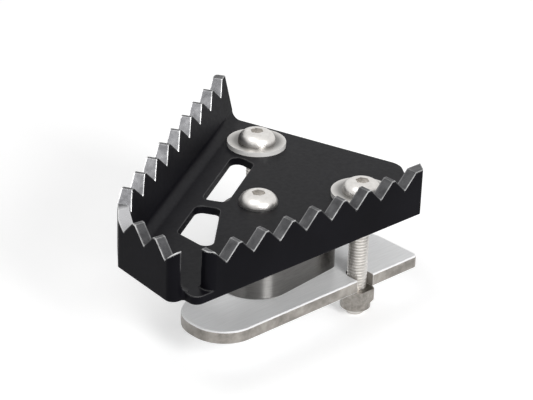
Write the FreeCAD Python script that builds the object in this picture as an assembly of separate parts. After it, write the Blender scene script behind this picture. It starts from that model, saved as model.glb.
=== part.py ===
# Clamp-on brake pedal extension: a milled tray with toothed walls, a spacer block and a clamp
# plate under it, and the screws that pull them together round the pedal's own foot pad.
# Frame: origin on the tray's underside, midway between the two clamp screws; +X points back
# towards the pedal's arm, +Y to the left-hand (longer) wall, +Z up. Lengths in millimetres.

import FreeCAD, Part
import math
import os

Vec = FreeCAD.Vector
UP = Vec(0, 0, 1)

# Tray: floor and walls
floor_thickness = 2.0
low_wall_thickness = 3.0
low_wall_height = 11.7
low_foot_radius = 1.2
high_wall_thickness = 2.6
high_wall_height = 13.4
high_foot_radius = 2.5
left_foot_thickness = 5.0

# Tray: outline, measured from the line through the clamp screws
right_wall_back = 6.7
front_reach = 68.7
drain_gap = 7.6
corner_gap = 2.9
front_wall_lean = 5.7
left_wall_length = 82.0
left_wall_angle = 30.9
back_reach = 20.0
back_corner_rise = 19.5
back_corner_radius = 5.0
corner_cut_front = 4.6
corner_cut_left = 7.0
corner_cut_radius = 1.5
pocket_corner_radius = 16.0
wall_end_radius = 2.0
front_end_trim = 1.5
drain_setback = 1.0
drain_corner_radius = 2.0
edge_radius = 0.8

# Teeth along the tops of the walls
tooth_pitch = 8.4
tooth_depth = 3.7
tooth_land = 0.9
right_front_land = 0.8
front_corner_land = 2.7
left_corner_land = 1.7
end_land = 2.0

# Windows in the floor, beside the left wall
window_margin = 9.4
window_radius = 2.0
front_window_ahead = 47.6
front_window_width = 12.4
front_window_length = 15.3
front_window_tip = 6.0
rib_width = 3.5
rear_window_width = 6.5
rear_window_screw_gap = 0.8

# Screws, washers and nuts: M5 sizes
screw_spacing = 37.5
shank_diameter = 5.0
hole_clearance = 0.5
head_diameter = 9.5
head_height = 2.75
head_rim = 0.5
head_flat_diameter = 4.5
dome_bulge = 0.55
socket_width = 3.0
socket_depth = 1.7
washer_diameter = 15.0
washer_clearance = 0.3
washer_thickness = 1.2
washer_wall_gap = 1.7
washer_left_gap = 0.7
nut_width = 8.0
nut_hex_height = 3.7
nut_collar_height = 1.7
nut_collar_diameter = 7.6
nut_lip = 0.4
insert_diameter = 6.6
insert_thickness = 1.2
thread_clearance = 0.03
thread_beyond_nut = 1.8

# Spacer block and the screw that holds it to the tray
spacer_height = 19.5
spacer_width = 18.8
spacer_turn = 6.0
spacer_back = 1.7
spacer_edge = 0.5
spacer_corner_radius = 1.5
spacer_pocket_depth = 0.4
spacer_clearance = 0.1
centre_screw_ahead = 22.4
centre_screw_side = 6.1
centre_screw_length = 16.0
tapped_depth_spare = 2.0

# Clamp plate
plate_thickness = 3.4
plate_right_inset = 10.4
plate_front = 47.9
plate_left_margin = 6.0
plate_left_angle = 34.0
plate_back = 19.0
plate_tail_rise = 14.0
plate_nose_flat = 1.6
plate_tail_radius = 1.5
plate_edge = 0.3

# How far cutting tools run past a face, and how near counts as touching
cut_margin = 1.0
match_tolerance = 0.001


def turned(angle):
    """Level unit vector at an angle from +X, in degrees."""
    return Vec(math.cos(math.radians(angle)), math.sin(math.radians(angle)), 0)


def meeting(point_a, direction_a, point_b, direction_b):
    """Point where two level lines cross."""
    across = Vec(-direction_b.y, direction_b.x, 0)
    run = (point_b - point_a).dot(across) / direction_a.dot(across)
    return point_a + direction_a * run


def rounded_face(corners):
    """Level face inside a ring of (point, corner radius) pairs."""
    starts = []
    ends = []
    arcs = []
    for i, (corner, radius) in enumerate(corners):
        to_last = (corners[i - 1][0] - corner).normalize()
        to_next = (corners[(i + 1) % len(corners)][0] - corner).normalize()
        half_angle = to_last.getAngle(to_next) / 2
        setback = radius / math.tan(half_angle)
        starts.append(corner + to_last * setback)
        ends.append(corner + to_next * setback)
        inward = (to_last + to_next).normalize()
        middle = corner + inward * (radius / math.sin(half_angle) - radius)
        arcs.append(Part.Arc(starts[i], middle, ends[i]).toShape() if radius else None)
    edges = []
    for i in range(len(corners)):
        if arcs[i]:
            edges.append(arcs[i])
        next_start = starts[(i + 1) % len(corners)]
        if ends[i].distanceToPoint(next_start) > match_tolerance:
            edges.append(Part.LineSegment(ends[i], next_start).toShape())
    return Part.Face(Part.Wire(edges))


def prism(face, low, high):
    """Upright solid on a level face, between two heights."""
    return face.translated(UP * low).extrude(UP * (high - low))


def upright_cylinder(diameter, low, high, centre):
    """Upright cylinder between two heights."""
    return Part.makeCylinder(diameter / 2, high - low, Vec(centre.x, centre.y, low))


def level_edges(solid):
    """Edges of an upright solid's top and bottom faces."""
    return [e for e in solid.Edges if abs(e.tangentAt(e.FirstParameter).z) < match_tolerance]


def hexagon(width, centre):
    """Level hexagonal face, width across flats."""
    corners = [centre + turned(60 * i) * (width / math.sqrt(3)) for i in range(7)]
    return Part.Face(Part.makePolygon(corners))


# Holes that the screws pass through
clearance_hole = shank_diameter + hole_clearance
washer_hole = shank_diameter + washer_clearance

# Level points that the pieces share
clamp_points = [Vec(0, side * screw_spacing / 2, 0) for side in (1, -1)]
centre_point = Vec(-centre_screw_ahead, -centre_screw_side, 0)
right_inner_y = -screw_spacing / 2 - washer_diameter / 2 - washer_wall_gap - low_foot_radius
right_face_y = right_inner_y - low_wall_thickness
front_along = turned(90 - front_wall_lean)
left_along = turned(left_wall_angle)
left_inward = turned(left_wall_angle - 90)
front_inward = turned(-front_wall_lean)
front_end = Vec(-front_reach, right_face_y + corner_gap, 0)
left_offset = washer_diameter / 2 + washer_left_gap + high_foot_radius + left_foot_thickness
front_corner = meeting(front_end, front_along, clamp_points[0] - left_inward * left_offset, left_along)
left_end = front_corner + left_along * left_wall_length
right_start = Vec(drain_gap - front_reach, right_face_y, 0)
right_end = Vec(right_wall_back, right_face_y, 0)
back_corner = Vec(back_reach, right_face_y + back_corner_rise, 0)

# Inner faces of the front and left walls; the left wall grows thicker from its top to its foot
front_end_inner = front_end + front_inward * high_wall_thickness
left_end_inner = left_end + left_inward * high_wall_thickness
left_foot = left_end + left_inward * left_foot_thickness

# Heights of the stack that the clamp screws pull together
plate_top = -spacer_height
plate_bottom = plate_top - plate_thickness
washer_top = floor_thickness + washer_thickness
nut_height = nut_hex_height + nut_collar_height
clamp_screw_tip = plate_bottom - nut_height - thread_beyond_nut
centre_screw_tip = floor_thickness - centre_screw_length


def tooth_grooves(start, along, run, height):
    """V grooves across the top of a wall, as many as the run holds at about the pitch."""
    count = max(1, round(run / tooth_pitch))
    spacing = run / count
    half_width = (spacing - tooth_land) / 2
    half_opening = half_width * (1 + cut_margin / tooth_depth)
    across = Vec(-along.y, along.x, 0)
    half_length = pocket_corner_radius
    grooves = []
    for i in range(count):
        valley = start + along * (spacing * (i + 0.5)) + UP * (height - tooth_depth)
        rim = valley + UP * (tooth_depth + cut_margin)
        ring = [valley, rim + along * half_opening, rim - along * half_opening, valley]
        profile = Part.Face(Part.makePolygon(ring))
        profile.translate(across * -half_length)
        grooves.append(profile.extrude(across * (2 * half_length)))
    return grooves


def foot_edges(solid, wall_line):
    """Edges round a milling tool's bottom that start and end on a wall's line."""
    found = []
    for edge in solid.Edges:
        if all(wall_line.distToShape(end)[0] < match_tolerance for end in edge.Vertexes):
            found.append(edge)
    return found


def pocket_tools():
    """Solids that mill out the tray, leaving a rounded foot along each wall."""
    strip = 2 * low_foot_radius
    split_y = right_inner_y + strip
    top = high_wall_height + cut_margin
    floor = UP * floor_thickness
    split_start = Vec(right_start.x, split_y, 0)
    far_right = Vec(left_end.x + left_wall_length, split_y, 0)

    def outline(left_face):
        """Face inside the pocket's outline, with the left wall's inner face through a point."""
        corner = meeting(front_end_inner, front_along, left_face, left_along)
        far_left = meeting(left_face, left_along, far_right, Vec(0, 1, 0))
        ring = [(p, 0) for p in (front_end_inner, split_start, far_right, far_left)]
        return rounded_face(ring + [(corner, pocket_corner_radius)])

    main = prism(outline(left_foot), floor_thickness, top)
    foot_corner = meeting(front_end_inner, front_along, left_foot, left_along)
    foot_end = meeting(left_foot, left_along, far_right, Vec(0, 1, 0))
    high_walls = Part.makePolygon([p + floor for p in (front_end_inner, foot_corner, foot_end)])
    main = main.makeFillet(high_foot_radius, foot_edges(main, high_walls))

    slope_foot = floor_thickness + high_foot_radius
    slope_growth = (top - slope_foot) / (high_wall_height - slope_foot)
    left_top = left_foot + (left_end_inner - left_foot) * slope_growth
    slope_low = outline(left_foot).OuterWire.translated(UP * slope_foot)
    slope_high = outline(left_top).OuterWire.translated(UP * top)
    above_slope = Part.makeLoft([slope_low, slope_high], True, True)

    low_start = Vec(right_start.x, right_inner_y, floor_thickness)
    low_run = far_right.x - low_start.x
    beside_low = Part.makeBox(low_run, strip + cut_margin, top - floor_thickness, low_start)
    low_wall = Part.makePolygon([low_start, low_start + Vec(low_run, 0, 0)])
    beside_low = beside_low.makeFillet(low_foot_radius, foot_edges(beside_low, low_wall))

    outside_y = right_face_y - cut_margin
    outside_x = front_end.x - cut_margin
    drain_ring = [
        (Vec(outside_x, outside_y, 0), 0),
        (Vec(right_start.x + wall_end_radius, outside_y, 0), 0),
        (Vec(right_start.x + wall_end_radius, right_face_y, 0), 0),
        (right_start, wall_end_radius),
        (split_start, 0),
        (front_end_inner, 0),
        (Vec(outside_x, front_end_inner.y, 0), 0),
    ]
    drain = prism(rounded_face(drain_ring), floor_thickness, top)
    above_start = Vec(right_start.x, outside_y, low_wall_height)
    above_width = low_wall_thickness + 2 * cut_margin
    above_low = Part.makeBox(low_run, above_width, top - low_wall_height, above_start)
    return [main, above_slope, beside_low, drain, above_low]


def window_faces():
    """Faces of the two floor windows, each with one side along the left wall."""
    wall_side = left_end_inner + left_inward * window_margin
    front_line = Vec(-front_window_ahead, 0, 0)
    rear_line = Vec(-washer_diameter / 2 - rear_window_screw_gap, 0, 0)
    front_near = meeting(wall_side, left_along, front_line, Vec(0, 1, 0))
    front_far = front_near + left_along * front_window_length
    rear_near = front_far + left_along * rib_width
    rear_inner = rear_near + left_inward * rear_window_width
    front_ring = [
        front_near,
        front_near - Vec(0, front_window_width, 0),
        front_far + left_inward * front_window_tip,
        front_far,
    ]
    rear_ring = [
        rear_near,
        rear_inner,
        meeting(rear_inner, left_along, rear_line, Vec(0, 1, 0)),
        meeting(rear_near, left_along, rear_line, Vec(0, 1, 0)),
    ]
    return [rounded_face([(p, window_radius) for p in ring]) for ring in (front_ring, rear_ring)]


def pedal_body():
    """Milled tray: floor, toothed walls, windows, screw holes and a pocket underneath for the spacer."""
    wall_stop = front_end + front_along * front_end_trim
    wall_stop_inner = front_end_inner + front_along * front_end_trim
    drain_corner = Vec(front_end_inner.x + drain_setback, right_face_y, 0)
    outline = [
        (drain_corner, drain_corner_radius),
        (right_end, edge_radius),
        (back_corner, back_corner_radius),
        (left_end_inner, 0),
        (left_end, edge_radius),
        (front_corner + left_along * corner_cut_left, corner_cut_radius),
        (front_corner - front_along * corner_cut_front, corner_cut_radius),
        (wall_stop, wall_end_radius),
        (wall_stop_inner, 0),
        (Vec(drain_corner.x, wall_stop_inner.y, 0), edge_radius),
    ]
    blank = prism(rounded_face(outline), 0, high_wall_height)
    body = blank.cut(pocket_tools())

    right_teeth = right_start + Vec(right_front_land, 0, 0)
    right_run = right_end.x - right_teeth.x - end_land
    cuts = tooth_grooves(right_teeth, Vec(1, 0, 0), right_run, low_wall_height)
    front_run = front_end.distanceToPoint(front_corner) - front_corner_land
    cuts += tooth_grooves(front_end, front_along, front_run, high_wall_height)
    left_start = front_corner + left_along * left_corner_land
    left_run = left_wall_length - left_corner_land - end_land
    cuts += tooth_grooves(left_start, left_along, left_run, high_wall_height)
    cuts += [prism(face, -cut_margin, floor_thickness + cut_margin) for face in window_faces()]
    cuts.append(prism(spacer_face(spacer_clearance), -cut_margin, spacer_pocket_depth))
    for point in clamp_points + [centre_point]:
        cuts.append(upright_cylinder(clearance_hole, -cut_margin, floor_thickness + cut_margin, point))
    return body.cut(cuts)


def clamp_plate():
    """Plate under the pedal pad; its right-hand slot is open, so that it swings on the left screw."""
    right_y = right_face_y + plate_right_inset
    front_x = -plate_front
    left_side_along = turned(plate_left_angle)
    left_side = clamp_points[0] + turned(plate_left_angle + 90) * plate_left_margin
    tail_corner = Vec(plate_back, right_y + plate_tail_rise, 0)
    back_along = (left_end_inner - back_corner).normalize()
    front_right = Vec(front_x, right_y, 0)
    front_left = meeting(left_side, left_side_along, front_right, Vec(0, 1, 0))
    left_half_angle = math.radians(90 + plate_left_angle) / 2
    rounded_run = front_left.y - front_right.y - plate_nose_flat
    nose_radius = rounded_run / (1 + 1 / math.tan(left_half_angle))
    corners = [
        (front_right, nose_radius),
        (Vec(plate_back, right_y, 0), plate_tail_radius),
        (tail_corner, plate_tail_radius),
        (meeting(left_side, left_side_along, tail_corner, back_along), plate_tail_radius),
        (front_left, nose_radius),
    ]
    plate = prism(rounded_face(corners), plate_bottom, plate_top)
    plate = plate.makeChamfer(plate_edge, level_edges(plate))
    holes = [upright_cylinder(clearance_hole, plate_bottom - cut_margin, plate_top + cut_margin, point)
             for point in clamp_points]
    slot_start = Vec(-clearance_hole / 2, right_y - cut_margin, plate_bottom - cut_margin)
    slot_run = clamp_points[1].y - slot_start.y
    holes.append(Part.makeBox(clearance_hole, slot_run, plate_thickness + 2 * cut_margin, slot_start))
    return plate.cut(holes)


def spacer_face(clearance):
    """Level outline of the spacer block, grown by a clearance, with a full-round end about its screw."""
    half_width = spacer_width / 2 + clearance
    corner_radius = spacer_corner_radius + clearance
    along = turned(spacer_turn)
    across = turned(spacer_turn + 90)
    length = (centre_screw_ahead - spacer_back - abs(across.x) * spacer_width / 2) / along.x
    front = centre_point - along * half_width
    back = centre_point + along * (length + clearance)
    ring = [
        (front - across * half_width, half_width),
        (back - across * half_width, corner_radius),
        (back + across * half_width, corner_radius),
        (front + across * half_width, half_width),
    ]
    return rounded_face(ring)


def spacer_block():
    """Block that sets the clamp's height, keyed into the tray so that it can't turn on its one screw."""
    block = prism(spacer_face(0), plate_top, spacer_pocket_depth)
    block = block.makeChamfer(spacer_edge, level_edges(block))
    hole_diameter = shank_diameter + 2 * thread_clearance
    hole_bottom = centre_screw_tip - tapped_depth_spare
    hole_top = spacer_pocket_depth + cut_margin
    return block.cut(upright_cylinder(hole_diameter, hole_bottom, hole_top, centre_point))


def button_screw(centre, seat, tip):
    """Button head screw, with its head's underside at the seat height and its end at the tip height."""
    head_radius = head_diameter / 2
    flat_radius = head_flat_diameter / 2
    shank_radius = shank_diameter / 2
    crown = seat + head_height
    rim = seat + head_rim
    shoulder = Vec((flat_radius + head_radius) / 2 + dome_bulge, 0, rim + head_height / 2)
    outline = [
        Part.LineSegment(Vec(0, 0, crown), Vec(flat_radius, 0, crown)),
        Part.Arc(Vec(flat_radius, 0, crown), shoulder, Vec(head_radius, 0, rim)),
        Part.LineSegment(Vec(head_radius, 0, rim), Vec(head_radius, 0, seat)),
        Part.LineSegment(Vec(head_radius, 0, seat), Vec(shank_radius, 0, seat)),
        Part.LineSegment(Vec(shank_radius, 0, seat), Vec(shank_radius, 0, tip)),
        Part.LineSegment(Vec(shank_radius, 0, tip), Vec(0, 0, tip)),
        Part.LineSegment(Vec(0, 0, tip), Vec(0, 0, crown)),
    ]
    section = Part.Face(Part.Wire([piece.toShape() for piece in outline]))
    screw = section.revolve(Vec(0, 0, 0), UP, 360).translated(centre)
    socket = prism(hexagon(socket_width, centre), crown - socket_depth, crown + cut_margin)
    return screw.cut(socket)


def washer(centre):
    """Wide flat washer under a clamp screw's head."""
    disc = upright_cylinder(washer_diameter, floor_thickness, washer_top, centre)
    return disc.cut(upright_cylinder(washer_hole, 0, washer_top + cut_margin, centre))


def lock_nut(centre):
    """Hexagon nut under the plate, with a round collar that holds the nylon ring."""
    collar_top = plate_bottom - nut_hex_height
    nut_bottom = collar_top - nut_collar_height
    insert_bottom = nut_bottom + nut_lip
    insert_top = insert_bottom + insert_thickness
    flat_radius = nut_width / 2
    hexed = prism(hexagon(nut_width, centre), collar_top, plate_bottom)
    cone_start = Vec(centre.x, centre.y, collar_top)
    cone = Part.makeCone(flat_radius, flat_radius + nut_hex_height, nut_hex_height, cone_start)
    collar = upright_cylinder(nut_collar_diameter, nut_bottom, collar_top, centre)
    thread_diameter = shank_diameter + 2 * thread_clearance
    thread = upright_cylinder(thread_diameter, nut_bottom - cut_margin, plate_bottom + cut_margin, centre)
    seat = upright_cylinder(insert_diameter, insert_bottom, insert_top, centre)
    return hexed.common(cone).fuse(collar).cut([thread, seat]).removeSplitter()


def nut_insert(centre):
    """Nylon ring held in a nut's collar, gripping the screw."""
    low = plate_bottom - nut_height + nut_lip
    ring = upright_cylinder(insert_diameter, low, low + insert_thickness, centre)
    hole = upright_cylinder(shank_diameter, low - cut_margin, low + insert_thickness + cut_margin, centre)
    return ring.cut(hole)


clamp_screws = [button_screw(point, washer_top, clamp_screw_tip) for point in clamp_points]
pieces = {
    "pedal_body": pedal_body(),
    "clamp_plate": clamp_plate(),
    "spacer_block": spacer_block(),
    "clamp_screws": Part.makeCompound(clamp_screws),
    "centre_screw": button_screw(centre_point, floor_thickness, centre_screw_tip),
    "clamp_washers": Part.makeCompound([washer(point) for point in clamp_points]),
    "clamp_nuts": Part.makeCompound([lock_nut(point) for point in clamp_points]),
    "nut_inserts": Part.makeCompound([nut_insert(point) for point in clamp_points]),
}

os.makedirs("parts", exist_ok=True)
for name, shape in pieces.items():
    shape.exportStep("parts/" + name + ".step")
    state = "valid" if shape.isValid() else "broken"
    print(name, len(shape.Solids), "solids", round(shape.Volume, 1), "mm3", state)
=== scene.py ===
import bmesh
import bpy
import math
from mathutils import Matrix, Vector


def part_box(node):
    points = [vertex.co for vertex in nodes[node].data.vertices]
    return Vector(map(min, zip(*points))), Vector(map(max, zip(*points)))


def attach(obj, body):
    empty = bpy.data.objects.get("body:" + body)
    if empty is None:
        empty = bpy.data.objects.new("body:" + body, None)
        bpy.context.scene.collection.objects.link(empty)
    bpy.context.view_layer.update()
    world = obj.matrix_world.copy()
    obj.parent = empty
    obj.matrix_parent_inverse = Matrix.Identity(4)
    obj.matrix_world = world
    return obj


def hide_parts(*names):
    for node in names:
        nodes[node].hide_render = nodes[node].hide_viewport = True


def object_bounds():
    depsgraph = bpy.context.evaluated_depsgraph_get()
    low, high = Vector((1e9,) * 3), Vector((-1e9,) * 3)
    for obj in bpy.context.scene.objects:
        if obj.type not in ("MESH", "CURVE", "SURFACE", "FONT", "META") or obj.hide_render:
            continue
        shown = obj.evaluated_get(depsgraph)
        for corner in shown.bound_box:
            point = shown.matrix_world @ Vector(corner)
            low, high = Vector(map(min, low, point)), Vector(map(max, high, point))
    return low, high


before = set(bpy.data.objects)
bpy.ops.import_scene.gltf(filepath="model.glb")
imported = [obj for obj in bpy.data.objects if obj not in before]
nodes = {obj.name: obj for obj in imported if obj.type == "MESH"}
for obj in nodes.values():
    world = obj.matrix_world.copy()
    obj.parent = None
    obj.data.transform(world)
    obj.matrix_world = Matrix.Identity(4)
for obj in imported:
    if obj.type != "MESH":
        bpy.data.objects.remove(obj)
cad_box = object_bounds()
scene = bpy.context.scene

# Camera: the line of sight and a slight roll in degrees, places in metres, the lens in millimetres
CAMERA_AZIMUTH = -43.949
CAMERA_ELEVATION = 26.125
CAMERA_ROLL = 2.097
CAMERA_TARGET = Vector((-0.01683, -0.00312, -0.00009))
CAMERA_DISTANCE = 0.49771
CAMERA_LENS = 138.62
CAMERA_CLIP = (0.01, 20)

# Strength of the even light from all round, and how much whiter the floor is seen than it is lit
AMBIENT = 0.42
FLOOR_LIFT = 0.35

# Lamps: places and widths in metres, power in watts
KEY_PLACE = Vector((-0.44, -0.03, 0.80))
KEY_TARGET = Vector((-0.02, 0, 0))
KEY_WIDTH = 0.36
KEY_POWER = 2.2
SIDE_PLACE = Vector((-0.12, -0.70, 0.33))
SIDE_TARGET = Vector((-0.02, 0, -0.01))
SIDE_WIDTH = 0.3
SIDE_POWER = 4.4

# Floor: half its width, and how far it lies below the part
FLOOR_REACH = 6
FLOOR_GAP = 0.0002

# Painted light on the tray: the heights where the teeth start, how far the edge line of bare metal and
# painted highlight reaches from the edges, the way that those edges are turned, and the middle and reach of
# the facet where the painted sheen is lightest
TOOTH_FOOT = 0.0068
TOOTH_FULL = 0.0080
EDGE_GLINT_WIDTH = 0.0008
EDGE_GLINT_TOWARDS = (-0.3, -0.3, 0.9)
SHEEN_CORNER = (-0.0646, -0.0076, 0.0115)
SHEEN_NEAR = 0.0028
SHEEN_FAR = 0.0042

# Painted highlight: a light line along the edges of plate and washers
EDGE_HIGHLIGHT_WIDTH = 0.0003
EDGE_HIGHLIGHT_COLOUR = (0.85, 0.84, 0.82)

# A washer's painted shade and highlight, by shares of its radius: painted shade up to the first, painted
# highlight from the second
WASHER_SHADE_END = 0.64
WASHER_HIGHLIGHT_START = 0.95

# Colours, each pair from its darkest to its lightest
BLACK = ((0.0035, 0.0034, 0.0046), (0.006, 0.0058, 0.0078))
FACET_SHEEN_GREY = ((0.065, 0.065, 0.068), (0.12, 0.12, 0.124))
CORNER_SHEEN_GREY = (0.48, 0.48, 0.49)
BARE_EDGE_AND_GLINT = (0.72, 0.72, 0.72)
PLATE_FACE = ((0.86, 0.865, 0.87), (0.95, 0.955, 0.96))
PLATE_CUT = ((0.17, 0.157, 0.14), (0.38, 0.355, 0.325))
# Painted reflection: the spacer's grey is darkened to stand for the dark surroundings it reflects
SPACER_DARK_REFLECTION_GREY = ((0.14, 0.137, 0.132), (0.21, 0.206, 0.200))
FASTENER_STEEL = ((0.66, 0.64, 0.615), (0.78, 0.76, 0.735))
# Painted reflection: the nuts' steel is darkened to stand for the dark surroundings they reflect
NUT_DARK_REFLECTION_STEEL = ((0.22, 0.205, 0.185), (0.40, 0.375, 0.345))
WASHER_SHADE_AND_HIGHLIGHT_STEEL = ((0.17, 0.165, 0.157), (0.22, 0.214, 0.205), (0.60, 0.585, 0.565))
NYLON_WHITE = ((0.70, 0.70, 0.66), (0.80, 0.80, 0.76))
FLOOR_WHITE = ((0.86, 0.86, 0.86), (0.88, 0.88, 0.88))

# Most of a noise lies between these values
NOISE_LOW = 0.3
NOISE_HIGH = 0.7

# Cosines of the turn of a rounded edge's normal, where the edge begins to show and where it shows fully
EDGE_BEGINS = 0.96
EDGE_FULL = 0.80

# Where an edge is to be turned towards a direction: the same two for that turn, and what other edges keep
TURN_BEGINS = 0.52
TURN_FULL = 0.68
TURNED_AWAY = 0.15

# How far a face may look up or down to count as fully upright, and from where it counts as level
UPRIGHT_LIMIT = 0.3
LEVEL_LIMIT = 0.6

# Thread on the clamp screws: sizes in metres, and how deep each row of points in one pitch lies
THREAD_PITCH = 0.0008
THREAD_DEPTH = 0.00046
THREAD_PROFILE = (0, 0, 0.5, 1, 1, 0.5)
THREAD_FACETS = 40
TIP_CHAMFER = 0.0005

# Points further out than this share of the shank's radius belong to the screw's head
HEAD_SHARE = 1.2
LEVEL_TOLERANCE = 1e-5
MERGE_DISTANCE = 1e-7
SMOOTH_DEGREES = 30


def make_camera():
    a = math.radians(CAMERA_AZIMUTH)
    e = math.radians(CAMERA_ELEVATION)
    back = Vector((math.sin(a) * math.cos(e), -math.cos(a) * math.cos(e), math.sin(e)))
    right = Vector((math.cos(a), math.sin(a), 0))
    up = back.cross(right)
    roll = Matrix.Rotation(math.radians(CAMERA_ROLL), 3, "Z")
    turn = Matrix((right, up, back)).transposed() @ roll
    data = bpy.data.cameras.new("camera")
    data.lens = CAMERA_LENS
    data.clip_start, data.clip_end = CAMERA_CLIP
    camera = bpy.data.objects.new("camera", data)
    camera.matrix_world = Matrix.Translation(CAMERA_TARGET + back * CAMERA_DISTANCE) @ turn.to_4x4()
    scene.collection.objects.link(camera)
    scene.camera = camera


class Nodes:
    """The node tree of a material or world, with short calls to add nodes and join them."""

    def __init__(self, owner, shader="Principled BSDF"):
        owner.use_nodes = True
        self.owner = owner
        self.tree = owner.node_tree
        self.shader = self.tree.nodes[shader]

    def add(self, kind, **settings):
        node = self.tree.nodes.new(kind)
        for key, value in settings.items():
            if key in node.inputs:
                node.inputs[key].default_value = value
            else:
                setattr(node, key, value)
        return node

    def put(self, value, socket):
        """Joins an output to a socket, or sets the socket to a number or a tuple."""
        if isinstance(value, (int, float, tuple)):
            socket.default_value = value
        else:
            self.tree.links.new(value, socket)

    def feed(self, **values):
        """Puts values on the shader's inputs, whose names have underscores here for spaces."""
        for key, value in values.items():
            self.put(value, self.shader.inputs[key.replace("_", " ")])

    def place(self, scale=(1, 1, 1)):
        """Object coordinates in metres, stretched by a scale."""
        mapping = self.add("ShaderNodeMapping", Scale=scale)
        self.put(self.add("ShaderNodeTexCoord").outputs["Object"], mapping.inputs["Vector"])
        return mapping.outputs["Vector"]

    def split(self, vector):
        """The outputs X, Y and Z of a vector."""
        node = self.add("ShaderNodeSeparateXYZ")
        self.put(vector, node.inputs[0])
        return node.outputs

    def facing_up(self):
        """How far a face looks up: 1 for level, 0 for upright and -1 for a face that looks down."""
        return self.split(self.add("ShaderNodeNewGeometry").outputs["True Normal"])["Z"]

    def upright(self):
        """1 on upright faces and 0 on level ones."""
        return self.span(self.math("ABSOLUTE", self.facing_up()), UPRIGHT_LIMIT, LEVEL_LIMIT, 1, 0)

    def noise(self, vector, scale, detail=3.0, rough=0.5):
        node = self.add("ShaderNodeTexNoise", Scale=scale, Detail=detail, Roughness=rough)
        self.put(vector, node.inputs["Vector"])
        return node.outputs["Fac"]

    def ramp(self, value, stops):
        node = self.add("ShaderNodeValToRGB")
        elements = node.color_ramp.elements
        while len(elements) < len(stops):
            elements.new(0.5)
        for element, (position, colour) in zip(elements, stops):
            element.position = position
            element.color = (*colour, 1)
        self.put(value, node.inputs["Fac"])
        return node.outputs["Color"]

    def tint(self, noise, colours):
        """A colour that goes with a noise from the first of a pair to the second."""
        return self.ramp(noise, [(NOISE_LOW, colours[0]), (NOISE_HIGH, colours[1])])

    def span(self, value, low, high, out_low, out_high):
        """A value's range from low to high, mapped to another one and held at its ends."""
        node = self.add("ShaderNodeMapRange")
        keys = ("From Min", "From Max", "To Min", "To Max")
        for key, number in zip(keys, (low, high, out_low, out_high)):
            node.inputs[key].default_value = number
        self.put(value, node.inputs["Value"])
        return node.outputs["Result"]

    def vary(self, noise, low, high):
        """A number that goes with a noise from low to high."""
        return self.span(noise, NOISE_LOW, NOISE_HIGH, low, high)

    def mix(self, share, first, second):
        """The first colour, with a share of the second mixed in."""
        node = self.add("ShaderNodeMix", data_type="RGBA")
        self.put(share, node.inputs["Factor"])
        for name, value in (("A", first), ("B", second)):
            socket = [s for s in node.inputs if s.name == name and s.type == "RGBA"][0]
            self.put((*value, 1) if isinstance(value, tuple) else value, socket)
        return [s for s in node.outputs if s.type == "RGBA"][0]

    def math(self, operation, first, second=0):
        node = self.add("ShaderNodeMath", operation=operation)
        self.put(first, node.inputs[0])
        self.put(second, node.inputs[1])
        return node.outputs[0]

    def vector_math(self, operation, first, second=(0, 0, 0)):
        """A number that is worked out from two vectors, or from the first one alone."""
        node = self.add("ShaderNodeVectorMath", operation=operation)
        self.put(first, node.inputs[0])
        self.put(second, node.inputs[1])
        return node.outputs["Value"]

    def bump(self, height, distance, strength):
        node = self.add("ShaderNodeBump", Strength=strength, Distance=distance)
        self.put(height, node.inputs["Height"])
        return node.outputs["Normal"]

    def edge(self, radius, towards=None):
        """About 1 along sharp edges and 0 on flats; weak on edges that aren't turned towards a direction."""
        rounded = self.add("ShaderNodeBevel", samples=8, Radius=radius).outputs["Normal"]
        normal = self.add("ShaderNodeNewGeometry").outputs["Normal"]
        mask = self.span(self.vector_math("DOT_PRODUCT", rounded, normal), EDGE_BEGINS, EDGE_FULL, 0, 1)
        if towards:
            turned = self.vector_math("DOT_PRODUCT", rounded, towards)
            mask = self.math("MULTIPLY", mask, self.span(turned, TURN_BEGINS, TURN_FULL, TURNED_AWAY, 1))
        return mask

    def seen(self):
        """1 for rays that look at things, straight, mirrored or through glass, and 0 for those that light."""
        rays = self.add("ShaderNodeLightPath").outputs
        seen = self.math("MAXIMUM", rays["Is Camera Ray"], rays["Is Glossy Ray"])
        return self.math("MAXIMUM", seen, rays["Is Transmission Ray"])


def new_material(name):
    return Nodes(bpy.data.materials.new(name))


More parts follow.
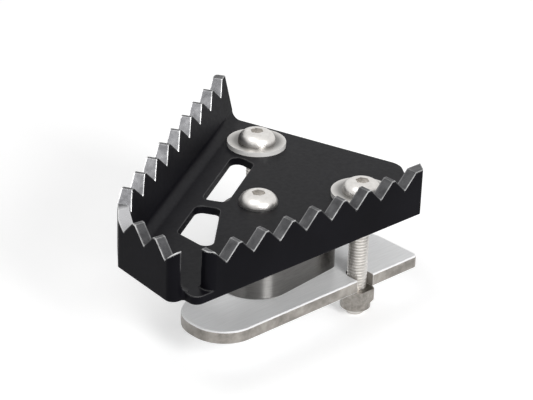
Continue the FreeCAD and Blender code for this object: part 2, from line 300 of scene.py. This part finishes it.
def anodised_black():
    """Satin black; the tooth facets carry a painted grey sheen, and the edges turned up and to the front are
    bare metal with a painted highlight.
    """
    m = new_material("black_anodised")
    spots = m.noise(m.place(), 900, 4, 0.6)
    clouds = m.noise(m.place(), 60)
    patches = m.noise(m.place(), 420)
    upward = m.facing_up()
    raised = m.span(m.split(m.place())["Z"], TOOTH_FOOT, TOOTH_FULL, 0, 1)
    # Painted sheen: up-facing tooth facets get a lighter, more metallic grey so that they catch the lamp,
    # lightest near the front left corner
    facet = m.math("MULTIPLY", raised, m.span(upward, 0.45, 0.6, 0, 1))
    # Bare metal along the teeth's edges, made lighter on the edges turned up and to the front as a painted
    # highlight
    edge = m.math("MULTIPLY", m.edge(EDGE_GLINT_WIDTH, EDGE_GLINT_TOWARDS), m.span(raised, 0, 1, 0.12, 1))
    edge_wear_and_glint = m.math("MULTIPLY", edge, m.span(patches, 0.38, 0.62, 0.5, 1))
    corner = m.span(m.vector_math("DISTANCE", m.place(), SHEEN_CORNER), SHEEN_NEAR, SHEEN_FAR, 1, 0)
    facet_sheen = m.mix(corner, m.tint(patches, FACET_SHEEN_GREY), CORNER_SHEEN_GREY)
    colour = m.mix(facet, m.tint(clouds, BLACK), facet_sheen)
    m.feed(Base_Color=m.mix(edge_wear_and_glint, colour, BARE_EDGE_AND_GLINT),
           Metallic=m.math("MAXIMUM", edge_wear_and_glint, m.math("MULTIPLY", facet, 0.8)),
           Roughness=m.math("SUBTRACT", m.vary(spots, 0.36, 0.46), m.math("MULTIPLY", facet, 0.12)),
           Specular_IOR_Level=m.span(upward, 0.2, 0.8, 0.03, 0.085),
           Normal=m.bump(spots, 0.000015, 0.5))
    return m.owner


def brushed(name, colours, stretch, rough_low, rough_high, metallic=1.0, cut_face=None):
    """Metal with fine lines; upright faces take the two cut face colours, where they are given."""
    m = new_material(name)
    lines = m.noise(m.place(stretch), 1, 4, 0.6)
    clouds = m.noise(m.place(), 80)
    colour = m.tint(lines, colours)
    if cut_face:
        streaks = m.noise(m.place(), 260, 4, 0.6)
        cut = m.ramp(streaks, [(0.35, cut_face[0]), (0.7, cut_face[1])])
        colour = m.mix(m.upright(), colour, cut)
        # Painted highlight along the plate's edges
        colour = m.mix(m.edge(EDGE_HIGHLIGHT_WIDTH), colour, EDGE_HIGHLIGHT_COLOUR)
    m.feed(Base_Color=colour,
           Metallic=metallic,
           Roughness=m.vary(clouds, rough_low, rough_high),
           Normal=m.bump(lines, 0.00002, 0.35))
    return m.owner


def washer_metal():
    """Washer with painted shade next to the screw's head, standing for the head's shadow and dark
    reflections, and a painted highlight at its rim.
    """
    m = new_material("washer_stainless")
    low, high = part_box("clamp_washers")
    radius = (high.x - low.x) / 2
    place = m.split(m.place())
    from_axis = m.add("ShaderNodeCombineXYZ")
    m.put(place["X"], from_axis.inputs["X"])
    m.put(m.math("SUBTRACT", m.math("ABSOLUTE", place["Y"]), high.y - radius), from_axis.inputs["Y"])
    reach = m.vector_math("LENGTH", from_axis.outputs[0])
    share = m.span(reach, WASHER_SHADE_END * radius, WASHER_HIGHLIGHT_START * radius, 0, 1)
    colour = m.ramp(share, list(zip((0, 0.35, 1), WASHER_SHADE_AND_HIGHLIGHT_STEEL)))
    highlight_rim = m.upright()
    clouds = m.noise(m.place(), 400)
    # Painted highlight on the washer's upright rim and its edges
    m.feed(Base_Color=m.mix(m.math("MAXIMUM", highlight_rim, m.edge(EDGE_HIGHLIGHT_WIDTH)), colour, EDGE_HIGHLIGHT_COLOUR),
           Metallic=m.span(highlight_rim, 0, 1, 1, 0.2),
           Roughness=m.vary(clouds, 0.26, 0.38))
    return m.owner


def spacer_metal():
    """Turned metal, which draws out highlights upwards and downwards; its base colour is darkened as a
    painted reflection of dark surroundings.
    """
    m = new_material("spacer_metal")
    lines = m.noise(m.place((300, 300, 9000)), 1, 3, 0.6)
    tangent = m.add("ShaderNodeTangent", direction_type="RADIAL", axis="Z")
    m.feed(Base_Color=m.tint(lines, SPACER_DARK_REFLECTION_GREY),
           Metallic=1.0,
           Roughness=m.vary(lines, 0.36, 0.42),
           Anisotropic=1.0,
           Anisotropic_Rotation=0.25,
           Tangent=tangent.outputs["Tangent"])
    return m.owner


def nylon():
    m = new_material("nylon")
    clouds = m.noise(m.place(), 500)
    m.feed(Base_Color=m.tint(clouds, NYLON_WHITE), Roughness=m.vary(clouds, 0.45, 0.6))
    return m.owner


def dress(node, material):
    mesh = nodes[node].data
    mesh.materials.clear()
    mesh.materials.append(material)


def add_thread(bm, centre, radius, top, tip):
    """Right-hand thread round an upright axis, from the top height down to a chamfered tip."""
    steps = len(THREAD_PROFILE)
    rows = steps * (math.ceil((top - tip) / THREAD_PITCH) + 1) + 1
    grid = []
    for i in range(rows):
        groove = THREAD_DEPTH * THREAD_PROFILE[i % steps]
        row = []
        for j in range(THREAD_FACETS + 1):
            turn = j / THREAD_FACETS
            angle = 2 * math.pi * turn
            z = min(max(top + THREAD_PITCH * (turn - i / steps), tip), top)
            chamfer = max(0, TIP_CHAMFER - (z - tip))
            r = radius - max(groove, chamfer) if z < top else radius
            row.append(bm.verts.new((centre.x + r * math.cos(angle), centre.y + r * math.sin(angle), z)))
        grid.append(row)
    for upper, lower in zip(grid, grid[1:]):
        for j in range(THREAD_FACETS):
            ring = (upper[j], lower[j], lower[j + 1], upper[j + 1])
            if len({v.co.z for v in ring}) > 1:
                bm.faces.new(ring)
    bmesh.ops.create_circle(bm, cap_ends=True, segments=THREAD_FACETS, radius=radius - TIP_CHAMFER,
                            matrix=Matrix.Translation((centre.x, centre.y, tip)))


def threaded_screws(material):
    """The clamp screws with their CAD heads, and a real thread in place of the plain shanks."""
    source = nodes["clamp_screws"]
    bm = bmesh.new()
    bm.from_mesh(source.data)
    bm.transform(source.matrix_world)
    bmesh.ops.remove_doubles(bm, verts=bm.verts, dist=MERGE_DISTANCE)
    for side in (-1, 1):
        points = [v.co for v in bm.verts if v.co.y * side > 0]
        low = Vector([min(p[i] for p in points) for i in range(3)])
        high = Vector([max(p[i] for p in points) for i in range(3)])
        centre = (low + high) / 2
        reach = [((p - centre).xy.length, p.z) for p in points]
        radius = max(r for r, z in reach if z < low.z + LEVEL_TOLERANCE)
        seat = min(z for r, z in reach if r > HEAD_SHARE * radius)
        middles = [(face, face.calc_center_median()) for face in bm.faces]
        shank = [face for face, at in middles if at.y * side > 0 and at.z < seat - LEVEL_TOLERANCE]
        bmesh.ops.delete(bm, geom=shank, context="FACES")
        add_thread(bm, centre, radius, seat, low.z)
    bmesh.ops.remove_doubles(bm, verts=bm.verts, dist=MERGE_DISTANCE)
    bmesh.ops.dissolve_degenerate(bm, edges=bm.edges, dist=MERGE_DISTANCE)
    bmesh.ops.recalc_face_normals(bm, faces=bm.faces)
    for face in bm.faces:
        face.smooth = True
    for edge in bm.edges:
        edge.smooth = edge.calc_face_angle(0) < math.radians(SMOOTH_DEGREES)
    mesh = bpy.data.meshes.new("threaded_screws")
    bm.to_mesh(mesh)
    bm.free()
    mesh.materials.append(material)
    screws = bpy.data.objects.new("threaded_screws", mesh)
    scene.collection.objects.link(screws)
    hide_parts("clamp_screws")
    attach(screws, "root")


def softbox(name, place, target, width, power):
    data = bpy.data.lights.new(name, "AREA")
    data.shape = "SQUARE"
    data.size = width
    data.energy = power
    lamp = bpy.data.objects.new(name, data)
    lamp.location = place
    lamp.rotation_mode = "QUATERNION"
    lamp.rotation_quaternion = (target - place).to_track_quat("-Z", "Y")
    scene.collection.objects.link(lamp)


def make_floor():
    bm = bmesh.new()
    bmesh.ops.create_grid(bm, x_segments=1, y_segments=1, size=FLOOR_REACH)
    mesh = bpy.data.meshes.new("floor")
    bm.to_mesh(mesh)
    bm.free()
    floor = bpy.data.objects.new("floor", mesh)
    floor.location.z = cad_box[0].z - FLOOR_GAP
    scene.collection.objects.link(floor)
    m = new_material("floor_white")
    m.feed(Base_Color=m.tint(m.noise(m.place(), 30, 2), FLOOR_WHITE),
           Roughness=0.9,
           Emission_Color=(1, 1, 1, 1),
           Emission_Strength=m.math("MULTIPLY", m.seen(), FLOOR_LIFT))
    mesh.materials.append(m.owner)


def make_world():
    """White where it is looked at, and weaker as a light."""
    m = Nodes(bpy.data.worlds.new("studio"), "Background")
    m.feed(Color=(1, 1, 1, 1), Strength=m.span(m.seen(), 0, 1, AMBIENT, 1))
    scene.world = m.owner


make_camera()
dress("pedal_body", anodised_black())
dress("clamp_plate", brushed("plate_stainless", PLATE_FACE, (150, 2500, 2500), 0.34, 0.46, 0.1, PLATE_CUT))
dress("spacer_block", spacer_metal())
fastener = brushed("fastener_stainless", FASTENER_STEEL, (900, 900, 900), 0.30, 0.42)
dress("centre_screw", fastener)
dress("clamp_washers", washer_metal())
threaded_screws(fastener)
dress("clamp_nuts", brushed("nut_stainless", NUT_DARK_REFLECTION_STEEL, (900, 900, 900), 0.34, 0.46))
dress("nut_inserts", nylon())

make_floor()
make_world()
softbox("key", KEY_PLACE, KEY_TARGET, KEY_WIDTH, KEY_POWER)
softbox("side", SIDE_PLACE, SIDE_TARGET, SIDE_WIDTH, SIDE_POWER)
scene.view_settings.view_transform = "Standard"
